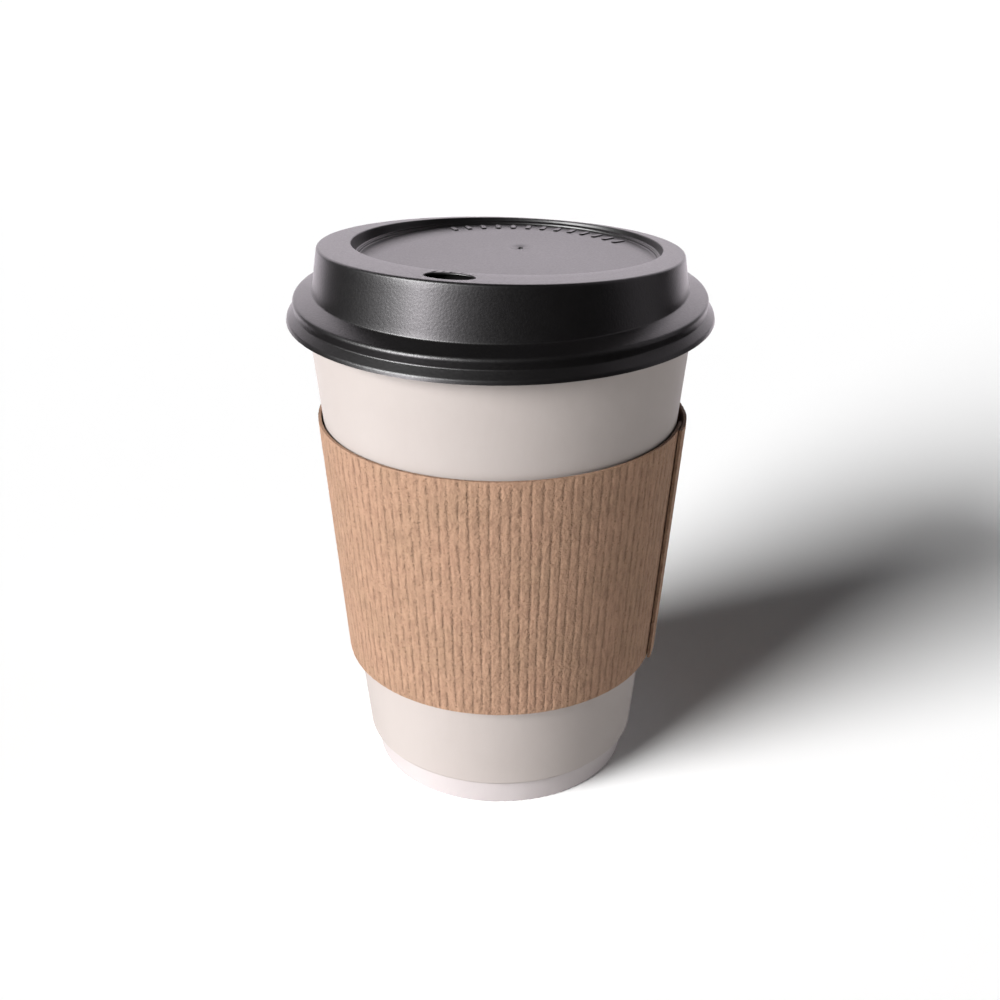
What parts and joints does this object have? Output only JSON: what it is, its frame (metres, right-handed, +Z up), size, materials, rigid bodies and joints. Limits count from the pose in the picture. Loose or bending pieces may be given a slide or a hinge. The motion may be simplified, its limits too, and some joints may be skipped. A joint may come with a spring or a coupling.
{
  "type": "paper coffee cup",
  "caption": "Tapered double-wall paper cup with a ribbed card sleeve that slides down and a domed plastic sip lid that lifts off.",
  "frame": {"origin": "centre of the base ring, on the surface that the cup stands on", "axes": "+Z up along the cup's axis to the lid; -Y is the drinking side, with the sip hole 17 degrees from -Y towards -X; +X is the side of the sleeve's glued lap"},
  "size_m": [0.094, 0.094, 0.1284],
  "materials": {
    "cup_paper": "smooth coated paper",
    "bottom_paper": "smooth coated paper",
    "wrap_paper": "matt uncoated paper",
    "kraft_card": "ribbed brown kraft",
    "lid_plastic": "satin black, finely grained"
  },
  "bodies": {
    "cup": {"cup_wall": "cup_paper", "cup_bottom": "bottom_paper", "outer_wrap": "wrap_paper"},
    "sleeve": {"sleeve": "kraft_card"},
    "lid": {"lid": "lid_plastic"}
  },
  "joints": [
    {"name": "lid_lift", "type": "slide", "parent": "cup", "child": "lid", "axis": [0, 0, 1], "range_m": [0, 0.08]},
    {"name": "sleeve_slide", "type": "slide", "parent": "cup", "child": "sleeve", "axis": [0, 0, -1], "range_m": [0, 0.028]}
  ]
}
